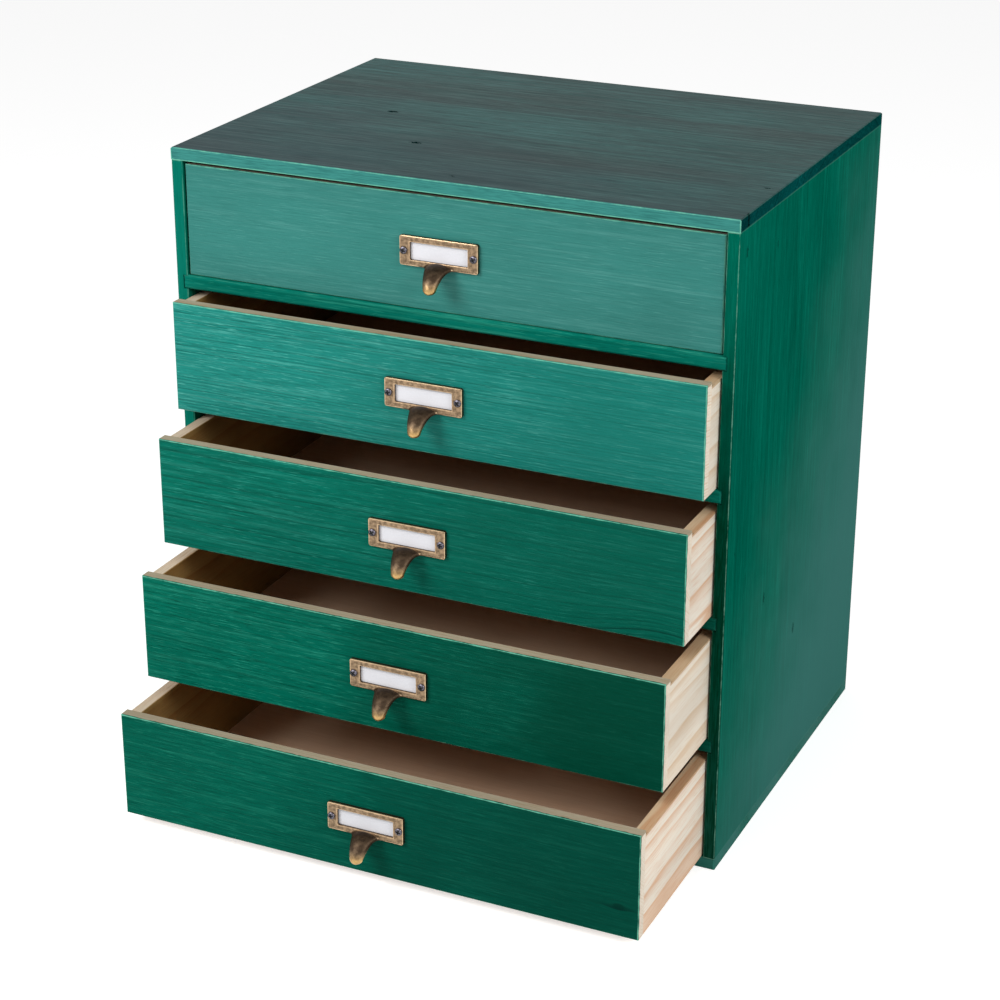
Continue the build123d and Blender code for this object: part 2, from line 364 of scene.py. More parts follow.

# %% [markdown]
# ## Where a board has edges
#
# Stain rubs thin along edges, and raw ends drink more of it, and the arrises also get a painted
# highlight in the same pale colour.  All need to know how far a point is from the nearest edge of
# its board.  Every board here is a box, so its two corners are enough: of the distances to the
# three pairs of faces the smallest is the face the point lies on, and the second smallest is the
# distance to the edge.

# %% Node group: board edges
tree, given, result = start_group(
    "Board edges",
    {**in_a_box, "Width": (FLOAT, 0.002), "Ragged": (FLOAT, 0.5)},
    {"Wear And Highlight": FLOAT, "Front": FLOAT})
from_low = vectors(tree, "SUBTRACT", given["Vector"], given["Low"])
from_high = vectors(tree, "SUBTRACT", given["High"], given["Vector"])
a, b, c = split(tree, vectors(tree, "MINIMUM", from_low, from_high))
smaller, larger = maths(tree, "MINIMUM", a, b), maths(tree, "MAXIMUM", a, b)
distance = maths(tree, "MAXIMUM", smaller, maths(tree, "MINIMUM", larger, c))
patchy = noise(tree, given["Vector"], (90.0, 90.0, 90.0), detail=4.0, roughness=0.7)
reach = maths(tree, "SUBTRACT", patchy, 0.5)
reach = maths(tree, "MULTIPLY_ADD", reach, times(tree, given["Ragged"], 4.0), 1.0)
reach = times(tree, maths(tree, "MAXIMUM", reach, 0.0), given["Width"])
wear_and_highlight = one_minus(tree, maths(tree, "DIVIDE", distance, maths(tree, "MAXIMUM", reach, 1e-6)))
connect(tree, fade(tree, wear_and_highlight, 0.0, 0.6), result["Wear And Highlight"])
from_front = split(tree, from_low)[1]
connect(tree, fade(tree, from_front, 0.6 * mm, 1.6 * mm, 1.0, 0.0), result["Front"])
print("node group:", tree.name)

# %% [markdown]
# ## Colouring the grain
#
# Stained and raw wood share one recipe: a pale early wood, a darker late wood in thin lines, long
# fine streaks, and darker knots.  Only the swatches differ.  The height that comes out is for
# bump: brushing and sanding leave the hard late wood standing slightly proud.

# %% Node group: wood colour
tree, given, result = start_group(
    "Wood colour",
    {"Ring": (FLOAT, 0.0), "Fibre": (FLOAT, 0.5), "Hair": (FLOAT, 0.5), "Streak": (FLOAT, 0.5),
     "Knot": (FLOAT, 0.0), "Blotch": (FLOAT, 0.5), "Early": (COLOUR, white),
     "Late": (COLOUR, black), "Streaks": (COLOUR, white), "Knot Colour": (COLOUR, black),
     "Ring Strength": (FLOAT, 1.0), "Streak Strength": (FLOAT, 0.5), "Hair Strength": (FLOAT, 0.5),
     "Blotch Strength": (FLOAT, 0.3)},
    {"Color": COLOUR, "Height": FLOAT})
ring = times(tree, given["Ring"], given["Ring Strength"])
colour = mix_colour(tree, ring, given["Early"], given["Late"])
streaks = times(tree, fade(tree, given["Streak"], 0.48, 0.72), given["Streak Strength"])
colour = mix_colour(tree, streaks, colour, given["Streaks"])
# Hairlines are short pale and dark scratches along the grain
pale = times(tree, fade(tree, given["Hair"], 0.58, 0.68), given["Hair Strength"])
colour = mix_colour(tree, pale, colour, given["Streaks"])
dark = times(tree, fade(tree, given["Hair"], 0.42, 0.32), given["Hair Strength"])
colour = mix_colour(tree, dark, colour, given["Late"])
pores = times(tree, fade(tree, given["Fibre"], 0.50, 0.30), 0.35)
colour = mix_colour(tree, pores, colour, given["Late"])
knot = times(tree, given["Knot"], 0.85)
colour = mix_colour(tree, knot, colour, given["Knot Colour"])
# Blotches lighten and darken the whole
blotch = times(tree, maths(tree, "SUBTRACT", given["Blotch"], 0.5), given["Blotch Strength"])
light = maths(tree, "ADD", 1.0, times(tree, blotch, 2.0))
connect(tree, scaled(tree, colour, light), result["Color"])
height = maths(tree, "MULTIPLY_ADD", given["Hair"], 0.6, times(tree, ring, 0.4))
connect(tree, maths(tree, "MULTIPLY_ADD", given["Streak"], 0.4, height), result["Height"])
print("node group:", tree.name)

# %% [markdown]
# ## Stain stops where the brush stopped
#
# The maker stained what shows: the cabinet's outside and the drawers' faces.  Behind a front's
# face and inside the cabinet the wood is raw, with a ragged green edge where the brush ran over.
# A point is stained if it lies outside a given box, so one group serves every board: the box is
# the cabinet's inside, or all of a drawer behind its face.

# %% Node group: brushed limit
tree, given, result = start_group(
    "Brushed limit",
    {**in_a_box, "Bleed": (FLOAT, 0.001)},
    {"Stain": FLOAT})
ragged = noise(tree, given["Vector"], (160.0, 160.0, 160.0), detail=3.0)
bleed = times(tree, fade(tree, ragged, 0.30, 0.70, 0.1, 1.9), given["Bleed"])
inside = vectors(tree, "MINIMUM", vectors(tree, "SUBTRACT", given["Vector"], given["Low"]),
                 vectors(tree, "SUBTRACT", given["High"], given["Vector"]))
a, b, c = split(tree, inside)
depth = maths(tree, "MINIMUM", maths(tree, "MINIMUM", a, b), c)
beyond_bleed = maths(tree, "SUBTRACT", depth, bleed)
connect(tree, fade(tree, beyond_bleed, -0.2 * mm, 0.4 * mm, 1.0, 0.0), result["Stain"])
print("node group:", tree.name)

# %% [markdown]
# ## A second colour
#
# No board is coloured evenly.  This group gives the amount of a second colour, which grows across
# the board in one direction with cloudy borders.  On the drawer fronts it is painted shade, darker
# towards the right where the light falls off; on the right side it is a painted reflection, a pale
# slate veil towards its back and foot; on other boards it is a darker or paler colour towards one
# end.

# %% Node group: second overlay
tree, given, result = start_group(
    "Second coat",
    {**in_a_box, "Direction": (VECTOR, (1, 0, 0)), "Start": (FLOAT, 0.0), "End": (FLOAT, 1.0),
     "Cloudy": (FLOAT, 0.7)},
    {"Amount": FLOAT})
share = vectors(tree, "DIVIDE", vectors(tree, "SUBTRACT", given["Vector"], given["Low"]),
                vectors(tree, "SUBTRACT", given["High"], given["Low"]))
along = vectors(tree, "DOT_PRODUCT", share, given["Direction"])
cloudy = noise(tree, given["Vector"], (14.0, 14.0, 14.0), detail=3.0)
along = maths(tree, "MULTIPLY_ADD", maths(tree, "SUBTRACT", cloudy, 0.5), given["Cloudy"], along)
connect(tree, fade(tree, along, given["Start"], given["End"]), result["Amount"])
print("node group:", tree.name)

# %% [markdown]
# ## Nicks
#
# The top shows a few small dark nicks and hairline cracks along the grain.  A Voronoi pattern
# scatters points, and only the few cells that draw a high number keep theirs.

# %% Node group: nicks
tree, given, result = start_group(
    "Nicks",
    {"Vector": (VECTOR, (0, 0, 0)), "Spacing": (FLOAT, 0.03), "Size": (FLOAT, 0.0024),
     "Kept": (FLOAT, 0.45)},
    {"Nick": FLOAT})
long_cells = vectors(tree, "MULTIPLY", given["Vector"], (0.45, 1.0, 0.0))
long_cells = scaled(tree, long_cells, maths(tree, "DIVIDE", 1.0, given["Spacing"]))
cells = put(tree, "TexVoronoi", {"Vector": long_cells, "Scale": 1.0})
luck = split(tree, cells.outputs["Color"])[0]
ragged = noise(tree, given["Vector"], (500.0, 900.0, 900.0), detail=3.0)
size = times(tree, maths(tree, "DIVIDE", given["Size"], given["Spacing"]), ragged)
near = maths(tree, "SUBTRACT", size, times(tree, cells.outputs["Distance"], 0.5))
kept = fade(tree, maths(tree, "SUBTRACT", given["Kept"], luck), -0.01, 0.01)
connect(tree, times(tree, fade(tree, near, 0.0, 0.012), kept), result["Nick"])
print("node group:", tree.name)

# %% [markdown]
# ## Two woods and their swatches
#
# The swatches were picked and then moved until small patches of the render came out as light and as
# green as the photograph's.  The upper fronts have a paler, bluer colour and the lowest a deeper
# green one: partly a real difference in stain between the pieces, and partly painted sheen and
# painted light that fades from the top drawer down to the lowest.

# %% Swatches
def wood_colours(early, late, streaks, knot):
    """The four swatches of a wood: early wood, dark lines, pale streaks and knots."""
    return {"Early": swatch(*early), "Late": swatch(*late), "Streaks": swatch(*streaks),
            "Knot Colour": swatch(*knot)}


raw_pine = wood_colours((232, 222, 206), (206, 168, 124), (238, 232, 220), (120, 66, 32))
shaded_pine = wood_colours((204, 188, 166), (170, 128, 84), (214, 200, 180), (110, 62, 30))
orange_pine = wood_colours((234, 225, 210), (208, 138, 70), (238, 230, 216), (130, 66, 28))
dark_raw = wood_colours((150, 118, 84), (98, 68, 42), (168, 136, 100), (66, 40, 22))
thin_panel = wood_colours((230, 196, 166), (208, 170, 138), (236, 206, 180), (130, 90, 60))
green_knot = (0, 40, 34)
# Drawer colours: real stain, with painted sheen and painted light fading from the top drawer down
# baked into the paler upper swatches
front_stain_and_light = {
    # drawer: main colour, dark lines, pale streaks
    1: wood_colours((46, 122, 114), (22, 96, 88), (92, 158, 150), green_knot),
    2: wood_colours((20, 128, 117), (0, 78, 68), (88, 176, 164), green_knot),
    3: wood_colours((0, 103, 86), (0, 56, 44), (54, 154, 136), green_knot),
    4: wood_colours((0, 102, 83), (0, 50, 36), (48, 152, 128), green_knot),
    5: wood_colours((0, 93, 75), (0, 50, 38), (38, 136, 112), green_knot),
}
print("stains:", len(front_stain_and_light))

# %% [markdown]
# ## The wood material
#
# One function makes the material of any board.  It turns the board so that its grain runs along
# X, asks the groups for grain, edges and the limit of the stain, and feeds a Principled BSDF.
# Stained wood is satin, raw wood is almost matt, and a faint bump along the fibres catches the
# light.

# %% Wood material
grain_turns = {
    # direction of the grain: the board's axes in grain order (along, across, through)
    "X": ("X", "Z", "Y"),
    "X flat": ("X", "Y", "Z"),
    "Y": ("Y", "Z", "X"),
    "Z": ("Z", "Y", "X"),
}


raw_roughness = 0.72
raw_specular = 0.15
stain_roughness = 0.42
wax_roughness = 0.32
grain_relief = 0.3 * mm
edge_width = 0.8 * mm
nick_black = swatch(4, 16, 16)


def dress(node_name, material):
    """Give a piece of the CAD model its one material."""
    slots = nodes[node_name].data.materials
    slots.clear()
    slots.append(material)


def wood(node_name, grain, raw, green=None, raw_box=None, bleed=1.0 * mm, heart=(0, 0.03, 0.09),
         spacing=3.0 * mm, wander=9 * mm, knot=None, seed=0.0, ring=0.6, streak=0.5, hair=0.5,
         blotch=0.3, wear_and_highlight=(0.5, 0.1), sheen=0.004, worn_and_highlit=swatch(110, 186, 160), coat=None,
         front=None, aged_and_shaded=None, wax=None, nicks=0.0):
    """Give one board its wood: raw swatches, and green ones outside raw_box where it is stained.

    wear_and_highlight is how pale the front edges and the other edges turn, partly by real abrasion
    and partly as a painted highlight on the arrises, and worn_and_highlit is that pale colour.
    sheen is the specular level of the stain.  overlay is a second colour: its swatch, direction,
    start, end, strength and cloudiness; on the drawer fronts it is painted shade and on the right
    side a painted reflection.  front is the same for the board's front edge alone, and
    aged_and_shaded for its raw wood, which is painted shade on the inner faces of the drawers' left
    sides.  wax is where the board is waxed, without a swatch, and nicks is how dark its nicks are.
    """
    low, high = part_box(node_name)
    material = bpy.data.materials.new("wood " + node_name)
    material.use_nodes = True
    tree = material.node_tree
    place = put(tree, "TexCoord").outputs["Object"]
    corners = {"Vector": place, "Low": low, "High": high}
    parts = dict(zip("XYZ", split(tree, vectors(tree, "SUBTRACT", place, (low + high) / 2))))
    turned = join(tree, *[parts[axis] for axis in grain_turns[grain]])
    values = {"Vector": turned, "Heart": heart, "Ring Spacing": spacing, "Wander": wander,
              "Seed": seed}
    if knot:
        values["Knot Place"] = knot[:3]
        values["Knot Size"] = knot[3]
    grains = use_group(tree, "Wood grain", values)
    pattern = {label: grains[label]
               for label in ("Ring", "Fibre", "Hair", "Streak", "Knot", "Blotch")}
    strengths = {"Ring Strength": ring, "Streak Strength": streak, "Hair Strength": hair,
                 "Blotch Strength": blotch}
    plain = use_group(tree, "Wood colour", {**pattern, **raw, **strengths})
    colour, height = plain["Color"], plain["Height"]

    def spread(direction, start, end, amount, cloudy=0.7):
        """How much of another colour there is at each point."""
        values = {**corners, "Direction": direction, "Start": start, "End": end, "Cloudy": cloudy}
        return times(tree, use_group(tree, "Second coat", values)["Amount"], amount)

    # A tint multiplied into the raw wood: aged top edges, and painted shade on the inner faces of
    # the drawers' left sides
    if aged_and_shaded:
        colour = mix_colour(tree, spread(*aged_and_shaded[1:]), colour, aged_and_shaded[0], "MULTIPLY")
    surface = tree.nodes["Principled BSDF"]
    surface.inputs["Roughness"].default_value = raw_roughness
    surface.inputs["Specular IOR Level"].default_value = sheen if green else raw_specular
    surface.inputs["Coat Roughness"].default_value = wax_roughness
    if wax:
        # Wax lies thicker on the hard lines of the grain and is missing in the nicks
        lines = times(tree, grains["Hair"], 0.9)
        lines = maths(tree, "MULTIPLY_ADD", grains["Streak"], 1.1, lines)
        polish = times(tree, spread(*wax), lines)
        bare = one_minus(tree, use_group(tree, "Nicks", {"Vector": turned})["Nick"])
        connect(tree, times(tree, polish, bare), surface.inputs["Coat Weight"])
    if green:
        edges = use_group(tree, "Board edges", {**corners, "Width": edge_width})
        green_colour = use_group(tree, "Wood colour", {**pattern, **green, **strengths})["Color"]
        # The front edge's coat lets the grain show as fine lines
        lines = fade(tree, grains["Hair"], 0.35, 0.62, 0.72, 1.08)
        # The overlay colour: painted shade on the drawer fronts, a painted reflection on the right
        # side, and a darker or paler colour on the other boards
        for layer, where in ((coat, 1.0), (front, times(tree, edges["Front"], lines))):
            if layer:
                share = times(tree, spread(*layer[1:]), where)
                green_colour = mix_colour(tree, share, green_colour, layer[0])
        if knot:
            # The parted rings drink more stain and show through every coat
            arcs = times(tree, grains["Near Knot"], fade(tree, grains["Ring"], 0.05, 0.75))
            arcs = times(tree, arcs, 0.75)
            green_colour = mix_colour(tree, arcs, green_colour, green["Knot Colour"])
        if nicks:
            nick = times(tree, use_group(tree, "Nicks", {"Vector": turned})["Nick"], nicks)
            green_colour = mix_colour(tree, nick, green_colour, nick_black)
        # Pale edges: partly real abrasion of the stain, partly a painted highlight along the
        # arrises in the same pale colour
        rubbing_and_highlight = maths(tree, "MULTIPLY_ADD", edges["Front"], wear_and_highlight[0] - wear_and_highlight[1], wear_and_highlight[1])
        rubbed_and_highlit = times(tree, edges["Wear And Highlight"], rubbing_and_highlight)
        green_colour = mix_colour(tree, rubbed_and_highlit, green_colour, worn_and_highlit)
        if raw_box:
            limit = {"Vector": place, "Low": raw_box[0], "High": raw_box[1], "Bleed": bleed}
            stained = use_group(tree, "Brushed limit", limit)["Stain"]
            colour = mix_colour(tree, stained, colour, green_colour)
            roughness = fade(tree, stained, 0.0, 1.0, raw_roughness, stain_roughness)
            connect(tree, roughness, surface.inputs["Roughness"])
        else:
            colour = green_colour
            surface.inputs["Roughness"].default_value = stain_roughness
    connect(tree, colour, surface.inputs["Base Color"])
    bump = put(tree, "Bump", {"Height": height, "Strength": 0.6, "Distance": grain_relief})
    connect(tree, bump.outputs["Normal"], surface.inputs["Normal"])
    dress(node_name, material)


print("wood material ready")

# %% [markdown]
# ## The cabinet
#
# Top, bottom, sides and shelves are stained where they show.  The raw box is the cabinet's
# inside, which starts a few millimetres behind the front edge, as far as a brush reaches.

# %% Cabinet boards
bottom_low, bottom_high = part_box("bottom_board")
top_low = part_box("top_board")[0]
left_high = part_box("left_side")[1]
right_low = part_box("right_side")[0]
brushed_in = 5 * mm
skin_depth = 0.05 * mm
inside_box = (
    Vector((left_high.x - skin_depth, bottom_low.y + brushed_in, bottom_high.z - skin_depth)),
    Vector((right_low.x + skin_depth, bottom_high.y, top_low.z + skin_depth)))

cabinet_green = wood_colours((0, 94, 76), (0, 60, 44), (12, 126, 104), green_knot)
top_green = wood_colours((2, 66, 64), (0, 32, 34), (10, 88, 84), (0, 26, 24))
shelf_green = wood_colours((6, 110, 94), (0, 74, 60), (50, 150, 128), green_knot)
slate = swatch(66, 122, 116)
dark_slate = swatch(0, 38, 46)
bottle_green = swatch(0, 44, 26)
edge_teal = swatch(64, 140, 132)
edge_green = swatch(10, 114, 98)
edge_mint = swatch(130, 190, 168)
wood("top_board", "X flat", dark_raw, top_green, inside_box, heart=(0, 0.05, -0.14),
     spacing=4.5 * mm, seed=1.0, ring=0.6, streak=0.6, hair=0.8, blotch=1.0, wear_and_highlight=(0.9, 0.1),
     nicks=0.9, sheen=0.0, coat=(dark_slate, (-0.5, -1, 0), -0.9, -0.1, 0.6),
     front=(edge_teal, (0, 0, 0), -1.0, -0.5, 0.85), wax=((0, 0, 1), 0.90, 0.97, 0.33, 0.0))
wood("bottom_board", "X flat", dark_raw, cabinet_green, inside_box, seed=2.0, wear_and_highlight=(0.1, 0.0),
     coat=(slate, (1, 0, 0), 0.8, 1.1, 0.7))
wood("left_side", "Z", dark_raw, cabinet_green, inside_box, heart=(0, 0.02, 0.12),
     spacing=4 * mm, seed=3.0, hair=0.4, front=(edge_green, (0, 0, 0), -1.0, -0.5, 0.75))
# Right side: its slate overlay is a painted reflection, a pale grey veil growing towards the back
# and the foot, and its own sheen is set to nothing
wood("right_side", "Z", dark_raw, cabinet_green, inside_box, heart=(0, -0.05, 0.10),
     spacing=4 * mm, seed=4.0, ring=0.4, streak=0.4, hair=0.4, sheen=0.0, worn_and_highlit=edge_mint,
     nicks=0.5, coat=(slate, (0, 0.8, -0.9), -0.40, 0.55, 0.85, 0.4),
     front=(bottle_green, (0, 0, -1), -1.0, -0.55, 0.9))
for number in range(1, 5):
    shade = 0.6 if number > 1 else 0.2
    wood(f"shelf_{number}", "X flat", dark_raw, shelf_green, inside_box, seed=4.0 + number,
         wear_and_highlight=(0.3, 0.0), coat=(bottle_green, (1, 0, 0), 0.95, 1.0, shade))
wood("back_panel", "Z", thin_panel, spacing=9 * mm, wander=20 * mm, heart=(0, 0.04, 0.2), seed=9.0)
print("cabinet boards finished")

# %% [markdown]
# ## The drawers
#
# A drawer's front is stained on its face alone, so the raw box is everything behind the face.
# Its sides and back are raw pine with open, orange-brown rings, and its bottom is thin brown
# panel.  Each board gets its own seed, and a knot where the photograph shows one.

# %% Drawer boards
knots = {
    # drawer: knot from the middle of its front, along and up, then how far it spreads
    3: (0.186, -0.050, 0, 19 * mm),
    5: (0.190, -0.018, 0, 5 * mm),
}
shade_to_right = {
    # drawer: painted shade, a darker green towards the front's right end where the light falls off,
    # and its strength
    2: (swatch(0, 104, 92), 0.6),
    3: (swatch(0, 80, 64), 0.6),
    4: (swatch(0, 56, 40), 0.85),
    5: (swatch(0, 54, 42), 0.7),
}
front_sheens = {1: 0.20, 2: 0.12, 3: 0.04, 4: 0.02, 5: 0.02}
front_grains = {
    # drawer: strength of rings, of streaks and of hairlines, and the board's heart line
    1: (0.20, 0.25, 0.30, (0, 0.30, 0.06)),
    2: (0.75, 0.35, 0.60, (0, 0.26, 0.05)),
    3: (0.65, 0.25, 0.50, (0, 0.07, 0.10)),
    4: (0.40, 0.25, 0.60, (0, -0.08, 0.12)),
    5: (0.35, 0.25, 0.45, (0, 0.09, 0.08)),
}
side_woods = {1: raw_pine, 2: raw_pine, 3: orange_pine, 4: raw_pine, 5: orange_pine}
top_edge = ((0, 0, 1), 0.975, 0.985, 1.0, 0.0)
grey_top = (swatch(182, 178, 166), *top_edge)
brown_top = (swatch(216, 196, 172), *top_edge)
# Painted shade: a darker, browner tint on the inner faces of the drawers' left sides, where the
# drawer above and the cabinet shade them
inside_shade = (swatch(176, 152, 102), (1, 0, 0), 0.85, 0.95, 1.0, 0.0)
face_depth = 0.8 * mm
everywhere = Vector((1, 1, 1))
sides = {"spacing": 11 * mm, "wander": 16 * mm, "ring": 0.6, "streak": 0.15, "hair": 0.12}
for number in drawer_numbers:
    part = f"drawer_{number}_"
    low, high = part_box(part + "front")
    behind_face = (low - everywhere, high + everywhere)
    behind_face[0].y = low.y + face_depth
    coat = None
    # Painted shade towards the front's right end, laid on as an overlay colour
    if number in shade_to_right:
        coat = (shade_to_right[number][0], (1, 0, 0), 0.1, 0.9, shade_to_right[number][1])
    ring, streak, hair, heart = front_grains[number]
    wood(part + "front", "X", raw_pine, front_stain_and_light[number], behind_face, bleed=0.4 * mm, heart=heart,
         wander=6 * mm, spacing=2.2 * mm, knot=knots.get(number), seed=10.0 + number, ring=ring,
         streak=streak, hair=hair, coat=coat, sheen=front_sheens[number], aged_and_shaded=grey_top,
         wear_and_highlight=(0.85, 0.0))
    wood(part + "left_side", "Y", shaded_pine, heart=(0, -0.03, 0.05), seed=20.0 + number,
         aged_and_shaded=inside_shade, **sides)
    wood(part + "right_side", "Y", side_woods[number], heart=(0, -0.035, 0.03),
         seed=30.0 + number, aged_and_shaded=brown_top, **sides)
    wood(part + "back", "X", raw_pine, heart=(0, 0.04, 0.07), seed=40.0 + number, **sides)
    wood(part + "bottom_panel", "X flat", thin_panel, heart=(0, 0.04, 0.25), spacing=9 * mm,
         seed=50.0 + number, ring=0.3, hair=0.2)
print("drawer boards finished")

# %% [markdown]
# ## Meshes made of rings
#
# The label pull is a cast frame with a finger tongue.  Both are stacks of closed outlines with
# the same number of points: join each outline to the next with four-sided faces and the skin is
# done.  That keeps full control of the edge bevels, which is where a casting shows its shape.

# %% Ring helper
def skin(mesh, rings, closed=True, material_index=0):
    """Join rings of points with faces: the last to the first if closed, and else capped."""
    made = [[mesh.verts.new(point) for point in ring] for ring in rings]
    count = len(made[0])
    pairs = list(zip(made, made[1:] + made[:1])) if closed else list(zip(made, made[1:]))
    for first, second in pairs:
        for index in range(count):
            after = (index + 1) % count
            mesh.faces.new((first[index], first[after], second[after], second[index]))
    if not closed:
        mesh.faces.new(list(reversed(made[0])))
        mesh.faces.new(made[-1])


def finish_mesh(mesh, name, sharp_angle=40):
    """Turn a bmesh into an object with smooth faces and sharp creases."""
    bmesh.ops.recalc_face_normals(mesh, faces=mesh.faces)
    data = bpy.data.meshes.new(name)
    mesh.to_mesh(data)
    mesh.free()
    data.shade_smooth()
    data.set_sharp_from_angle(angle=math.radians(sharp_angle))
    return link_new(name, data)


print("ring helper ready")

# %% [markdown]
# ## The cast label pull
#
# The frame's outlines are rounded rectangles, from the back of its outer edge over the bevel to
# its face, down into the window and back to the start.  The lower edge swells where the tongue
# grows out of it, as metal does in a mould.

# %% Label frame
pull_low, pull_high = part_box("drawer_1_pull")
pull_width = pull_high.x - pull_low.x
frame_height = 21.4 * mm
frame_thickness = 2.8 * mm
frame_end = 7.85 * mm
frame_rail = 4.25 * mm
frame_corner = 1.4 * mm
window_corner = 0.9 * mm
window_bevel = 0.35 * mm
card_pocket = 0.7 * mm
pocket_reach = 2 * mm
bevel = 0.6 * mm
hold = 0.15 * mm
swell = 0.5 * mm
swell_reach = 12.0 * mm
flare = 1.8 * mm
flare_share = 0.07
tongue_reach = 18.5 * mm
tongue_drop = 19.4 * mm
tongue_crown = 4.2 * mm
tongue_wall = 1.3 * mm
tongue_widths = [width * mm for width in (19.0, 17.2, 15.4, 13.6, 11.6, 9.6, 7.4)]


def rounded_rectangle(half_width, half_height, corner, depth, swelling=0.0, corner_points=6,
                      long_points=28):
    """Points round a rectangle with rounded corners, in the XZ plane at y = -depth."""
    points = []
    for quarter, (way_x, way_z) in enumerate(((1, -1), (1, 1), (-1, 1), (-1, -1))):
        start = math.radians(-90 + 90 * quarter)
        for step in range(corner_points):
            turn = start + math.radians(90) * step / (corner_points - 1)
            points.append((way_x * (half_width - corner) + corner * math.cos(turn),
                           way_z * (half_height - corner) + corner * math.sin(turn)))
    # The lower side, from left to right, with enough points to swell
    left, right = points[-1][0], points[0][0]
    for step in range(1, long_points):
        points.append((left + (right - left) * step / long_points, -half_height))
    out = []
    for x, z in points:
        if z < 0 and swelling:
            z -= swelling * math.exp(-((x / swell_reach) ** 8)) * (z / half_height) ** 2
        out.append(Vector((x, -depth, z)))
    return out


def add_frame(mesh, half_width):
    """The cast frame round the label window."""
    half_height = frame_height / 2
    window_x, window_z = half_width - frame_end, half_height - frame_rail
    face = frame_thickness
    outside = [
        # inset from the frame's edge, depth: from the back to the face
        (0, 0), (0, face - bevel), (0.3 * bevel, face - 0.3 * bevel), (bevel, face),
        (bevel + hold, face)]
    inside = [
        # growth of the window, depth: from the face down, and back along the card's pocket
        (window_bevel + hold, face), (window_bevel, face), (0.1 * mm, face - 0.1 * mm),
        (0, face - window_bevel), (0, card_pocket), (pocket_reach, card_pocket - 0.05 * mm),
        (pocket_reach, 0)]
    rings = [rounded_rectangle(half_width - inset, half_height - inset, frame_corner, depth, swell)
             for inset, depth in outside]
    rings += [rounded_rectangle(window_x + growth, window_z + growth, window_corner, depth)
              for growth, depth in inside]
    skin(mesh, rings)


print("frame outline points:", len(rounded_rectangle(1, 1, 0.1, 0)))

# %% [markdown]
# The tongue is a hollow arch that bends out and down along a quarter of an ellipse while it
# narrows.  Each outline goes over the arched back and returns along the hollow underside.  A few
# shrinking outlines at the end round the tip.

# %% Finger tongue
arch_points = 20
tongue_steps = 30
tip_start = 0.78
tip_round = 4.4 * mm
tip_steps = 10


def width_along(share):
    """The tongue's width at a share of its length, between the measured widths."""
    spot = share * (len(tongue_widths) - 1)
    index = min(int(spot), len(tongue_widths) - 2)
    before, after = tongue_widths[index], tongue_widths[index + 1]
    width = before + (after - before) * (spot - index)
    return width + 2 * flare * math.exp(-share / flare_share)


def tongue_outline(share, shrink=1.0, past=0.0):
    """The outline at a share of the tongue's bend.  shrink and past make its rounded tip."""
    angle = math.radians(90 * share)
    out = (tongue_reach - tongue_crown) * math.sin(angle)
    fall = (tongue_drop - tongue_crown) * (1 - math.cos(angle))
    rim = Vector((0, -frame_thickness - out, -frame_height / 2 - fall))
    along = Vector((0, -math.cos(angle), -math.sin(angle)))
    up = Vector((0, -math.sin(angle), math.cos(angle)))
    middle = rim + along * past + up * tongue_crown * 0.4
    half = width_along(share) / 2
    points = []
    for step in range(arch_points + 1):
        turn = math.pi * step / arch_points
        x = half * math.cos(turn)
        points.append(Vector((x, 0, 0)) + up * tongue_crown * math.sin(turn) ** 0.9)
    hollow = max(tongue_crown - tongue_wall, 0) * (1 - share ** 2)
    inner = half - min(tongue_wall, half * 0.3)
    for step in range(arch_points + 1):
        turn = math.pi * (1 - step / arch_points)
        points.append(Vector((inner * math.cos(turn), 0, 0)) + up * hollow * math.sin(turn))
    return [middle + (rim + along * past + point - middle) * shrink for point in points]


def add_tongue(mesh):
    """The finger tongue, from inside the frame's lower rail to its rounded tip."""
    rings = [[point + Vector((0, 1.5 * mm, 0)) for point in tongue_outline(0.0)]]
    rings += [tongue_outline(tip_start * step / tongue_steps) for step in range(tongue_steps + 1)]
    for step in range(1, tip_steps + 1):
        turn = math.radians(88) * step / tip_steps
        past = tip_round * math.sin(turn)
        rings.append(tongue_outline(tip_start, shrink=math.cos(turn), past=past))
    skin(mesh, rings, closed=False)


print("tongue outlines:", tongue_steps + tip_steps + 2)

# %% [markdown]
# ## Antique brass
#
# Antique brass is plated steel or zinc, darkened and then rubbed bright where hands and cloths
# reach.  So its material blends a dark brown into a warm pale brass: high spots and edges are
# bright and hollows stay dark.  Part of it is painted light: a painted highlight on the tongue's
# rim and lower part, painted shade over its upper part and a painted shadow on the frame beside its
# root.  The rim of the tongue follows a quarter of an ellipse, so a point is on the rim where its
# distance from that ellipse's centre, in half axes, is one.

# %% Brass, screw and card materials
def plain_material(name):
    """A new material, its node tree and its Principled BSDF."""
    material = bpy.data.materials.new(name)
    material.use_nodes = True
    return material, material.node_tree, material.node_tree.nodes["Principled BSDF"]


brass, tree, surface = plain_material("antique brass")
place = put(tree, "TexCoord").outputs["Object"]
cloud = noise(tree, place, (330.0, 330.0, 330.0), detail=4.0, roughness=0.7)
brushed = noise(tree, place, (300.0, 2400.0, 2400.0), detail=2.0)
across, out, up = split(tree, place)
side_on = maths(tree, "ABSOLUTE", across)
